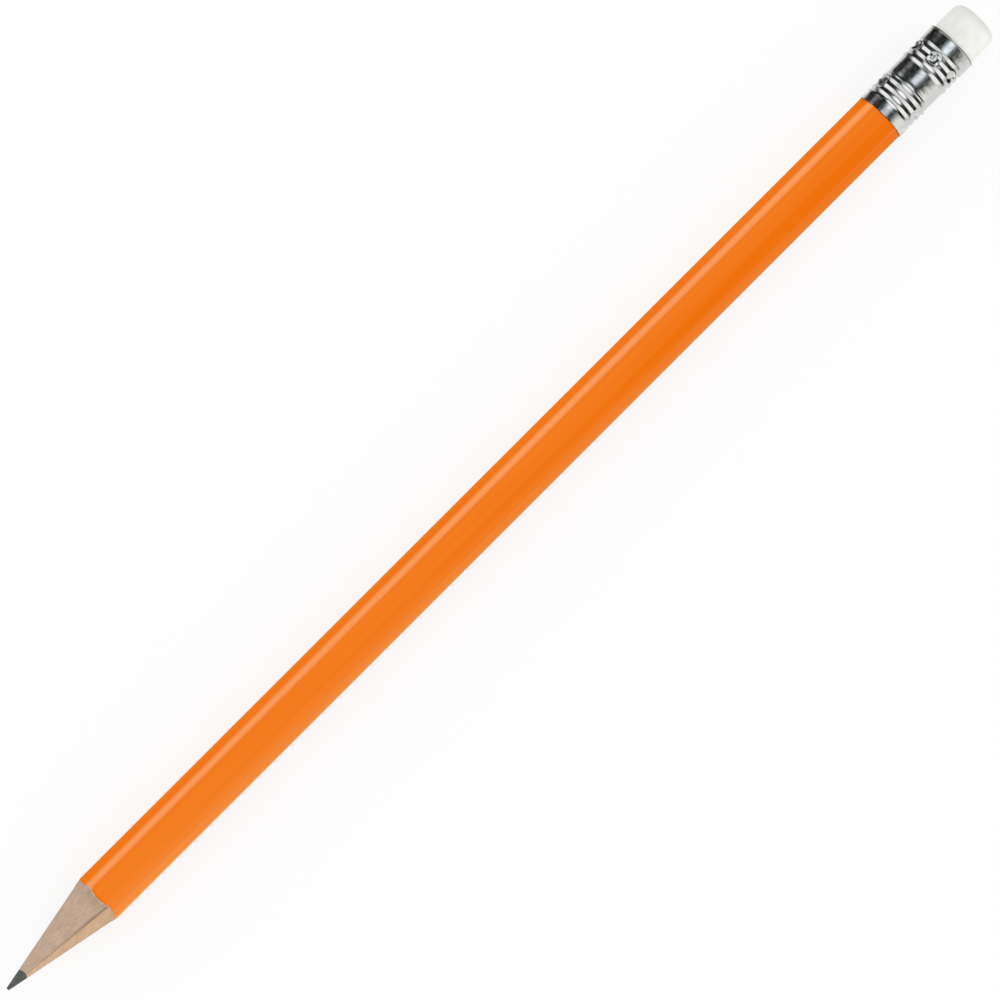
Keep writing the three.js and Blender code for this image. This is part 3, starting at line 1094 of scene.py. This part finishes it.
def reflection_only(name, bm, material):
    mesh = bpy.data.meshes.new(name)
    bm.to_mesh(mesh)
    bm.free()
    mesh.materials.append(material)
    made = bpy.data.objects.new(name, mesh)
    bpy.context.scene.collection.objects.link(made)
    made.visible_camera = False
    made.visible_diffuse = False
    made.visible_transmission = False
    made.visible_shadow = False
    return made


def sheet(name, middle, size, turn, material, skew=0):
    """A flat sheet on the bench, skewed along X by a share of its place in Y, and turned about X."""
    bm = bmesh.new()
    bmesh.ops.create_grid(bm, x_segments=1, y_segments=1, size=0.5)
    bmesh.ops.scale(bm, verts=bm.verts[:], vec=(size[0], size[1], 1))
    bmesh.ops.transform(bm, verts=bm.verts[:], matrix=Matrix.Shear("XZ", 4, (skew, 0)))
    bmesh.ops.rotate(bm, verts=bm.verts[:], matrix=Matrix.Rotation(turn, 3, "X"))
    bmesh.ops.translate(bm, verts=bm.verts[:], vec=middle)
    bmesh.ops.transform(bm, verts=bm.verts[:], matrix=to_frame)
    return reflection_only(name, bm, material)


velvet, tree, output, _ = new_material("black_velvet")
nap = add(tree, "ShaderNodeBsdfDiffuse", {"Color": linear("131816")}).outputs["BSDF"]
tree.links.new(nap, output.inputs["Surface"])

DOME_RADIUS = 1500
dome_bm = bmesh.new()
bmesh.ops.create_uvsphere(dome_bm, u_segments=48, v_segments=24, radius=DOME_RADIUS * MM)
bmesh.ops.bisect_plane(
    dome_bm, geom=dome_bm.verts[:] + dome_bm.edges[:] + dome_bm.faces[:], dist=PLANE_SNAP,
    plane_co=(0, 0, 0), plane_no=(0, 0, 1), clear_inner=True,
)
reflection_only("black_dome", dome_bm, velvet)
SHEET_LIFT = 0.1
table_height = -bench_origin.z / MM
sheet_height = SHEET_LIFT + table_height
FLAGS = (
    ("left_flag", 165, 455.1, (330, 889.8), 0),
    ("right_flag", 309.3, -227, (500, 446), -0.2),
    ("end_flag", 172.5, 7.4, (315, 5.6), 0),
)
for name, behind, across, size, skew in FLAGS:
    sheet(name, (ferrule_start + behind, across, sheet_height), size, 0, velvet, skew)
print("dome", DOME_RADIUS, "mm and", len(FLAGS), "flags")

# %% Strips and sheets for the lacquer
LEFT_BLEND_START = -400
LEFT_BLEND_END = 300


def fading_glow(name, colour, start, end, left=None):
    """A glow that falls along the pencil between two pairs of place and brightness.

    With a brightness for the left, it evens out to that on the left side of the pencil.
    """
    made, tree, output, bench = new_material(name)
    place = add(tree, "ShaderNodeSeparateXYZ", {"Vector": bench}).outputs
    strength = add(
        tree, "ShaderNodeMapRange",
        {"Value": place["X"], "From Min": start[0], "From Max": end[0],
         "To Min": start[1], "To Max": end[1]},
    ).outputs["Result"]
    if left:
        leftward = add(
            tree, "ShaderNodeMapRange",
            {"Value": place["Y"], "From Min": LEFT_BLEND_START, "From Max": LEFT_BLEND_END},
        ).outputs["Result"]
        strength = add(tree, "ShaderNodeMix", {0: leftward, 2: strength, 3: left}).outputs[0]
    glow = add(
        tree, "ShaderNodeEmission", {"Color": linear(colour), "Strength": strength},
    ).outputs["Emission"]
    tree.links.new(glow, output.inputs["Surface"])
    return made


STRIPS = ((16, 7.5), (16.5, 13.5), (17, 19.5))
STRIP_ALONG = 90
STRIP_MIDDLE = 8.1
STRIP_LENGTH = 400
STRIP_BRIGHTNESS = 1.65
STRIP_TINT = "A0FFCD"
STRIP_TILT = math.radians(0.6)
for away, height in STRIPS:
    softbox(
        f"shank_strip_{height}", (STRIP_ALONG, away, STRIP_MIDDLE), (STRIP_ALONG, 0, STRIP_MIDDLE),
        (STRIP_LENGTH, height), STRIP_BRIGHTNESS, [paint], STRIP_TINT, STRIP_TILT,
    )
ROOM_SIDE = 620
ROOM_HEIGHT = 1100
sheet_middle = ferrule_start - 248
wall_middle = ROOM_HEIGHT / 2 - 2
left_glow = fading_glow("left_glow", "BCFF97", (20, 0.34), (170, 0.26))
right_glow = fading_glow("right_glow", "BCFFB5", (20, 1.4), (170, 0.35))
wall_glow = fading_glow("wall_glow", "BCFFA7", (64, 1.9), (240, 0))
ceiling_glow = fading_glow("ceiling_glow", "BCFF97", (96, 1.55), (300, 0.05), 1.15)
for lit in (
    sheet("left_floor", (sheet_middle, 453, sheet_height), (500, 896), 0, left_glow),
    sheet("right_floor", (sheet_middle, -310, sheet_height), (500, 611), 0, right_glow),
    sheet("side_wall", (-90, -ROOM_SIDE, wall_middle), (820, ROOM_HEIGHT), math.pi / 2, wall_glow),
    sheet("ceiling", (100, 240, ROOM_HEIGHT), (1200, 1720), 0, ceiling_glow),
):
    link_light(lit, [paint], "INCLUDE")
print(len(STRIPS), "strips beside the shank and four fading sheets")

# %% Cards for the ferrule
CARD_LIFT = 0.4
COOL = "EFF7FF"
PLAIN = "FFFFFF"
WARM = "FFFFF9"
ferrule_middle = (ferrule_start + ferrule_end) / 2
card_height = CARD_LIFT + table_height
CARDS = (
    ("top_near", (20, 6, 300), (0, 0, -1), (60, 148), 0.85, COOL),
    ("top_far", (88, 6, 300), (0, 0, -1), (76, 148), 1.85, COOL),
    ("low_right_near", (20, -300, 48), (0, 1, 0), (72, 104), 1.15, WARM),
    ("low_right_far", (93, -300, 48), (0, 1, 0), (74, 104), 0.55, WARM),
    ("middle_right_near", (20, -300, 150), (0, 1, 0), (72, 100), 1.3, WARM),
    ("middle_right_far", (93, -300, 150), (0, 1, 0), (74, 100), 0.25, WARM),
    ("high_right_near", (21, -300, 275), (0, 1, 0), (74, 150), 1.25, WARM),
    ("high_right_far", (94, -300, 265), (0, 1, 0), (72, 130), 0.1, WARM),
    ("low_left_near", (15, 300, 112), (0, -1, 0), (62, 105), 0.75, PLAIN),
    ("low_left_far", (88, 300, 112), (0, -1, 0), (84, 105), 0.08, PLAIN),
    ("point_left", (-120, 365, 300), (1, 0, 0), (470, 600), 1.3, PLAIN),
    ("point_middle", (-120, 15, 170), (1, 0, 0), (230, 140), 0.95, PLAIN),
    ("point_right", (-120, -350, 300), (1, 0, 0), (500, 600), 1.3, PLAIN),
    ("end", (300, 8, 261), (-1, 0, 0), (240, 304), 1.5, PLAIN),
    ("right_floor", (-16, -30, card_height), (0, 0, 1), (22, 50), 0.95, PLAIN),
    ("left_floor", (-13, 8.4, card_height), (0, 0, 1), (16, 7.6), 0.95, PLAIN),
)
for name, centre, facing, size, brightness, tint in CARDS:
    centre = Vector(centre) + Vector((ferrule_middle, 0, 0))
    softbox("card_" + name, centre, centre + Vector(facing), size, brightness, [ferrule_piece], tint)
print(len(CARDS), "cards for the ferrule")

# %% [markdown]
# ## View transform
# Colours are shown as they are, without a film look.

# %% Finish
bpy.context.scene.view_settings.view_transform = "Standard"
